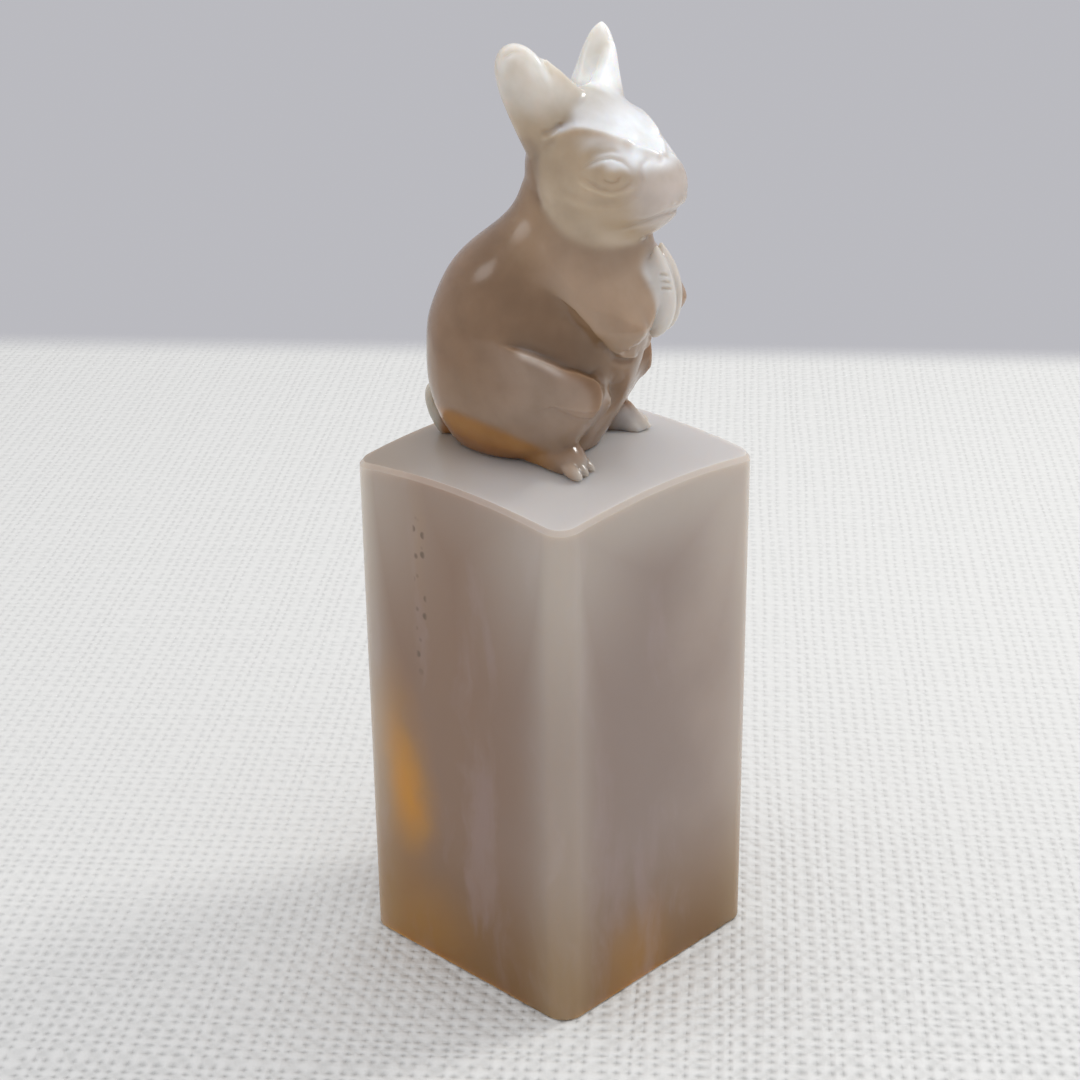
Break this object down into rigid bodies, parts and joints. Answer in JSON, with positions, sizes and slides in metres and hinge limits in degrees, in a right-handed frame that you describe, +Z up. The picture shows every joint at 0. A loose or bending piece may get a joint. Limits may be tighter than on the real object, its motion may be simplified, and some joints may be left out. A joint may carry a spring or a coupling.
{
  "type": "seal stamp",
  "caption": "Square stone name seal with a flat blank seal face below and a seated rabbit carved in the round on its domed top.",
  "frame": {"origin": "centre of the flat seal face, under the middle of the block", "axes": "+Z up from the seal face to the ears, +X and +Y square to the block's sides; the rabbit faces +X, turned 20 degrees to its left"},
  "size_m": [0.018, 0.018, 0.0596],
  "materials": {
    "agate_block": "satin polished translucent agate",
    "agate_body": "polished translucent agate",
    "agate_head": "polished pale translucent agate"
  },
  "bodies": {
    "root": {"seal_block": "agate_block", "rabbit_body": "agate_body", "rabbit_head": "agate_head", "right_thigh": "agate_body", "left_thigh": "agate_body", "right_arm": "agate_body", "left_arm": "agate_body", "right_paw": "agate_body", "left_paw": "agate_body", "right_ear": "agate_head", "left_ear": "agate_head", "right_foot": "agate_body", "left_foot": "agate_body", "tail": "agate_body"}
  },
  "joints": []
}
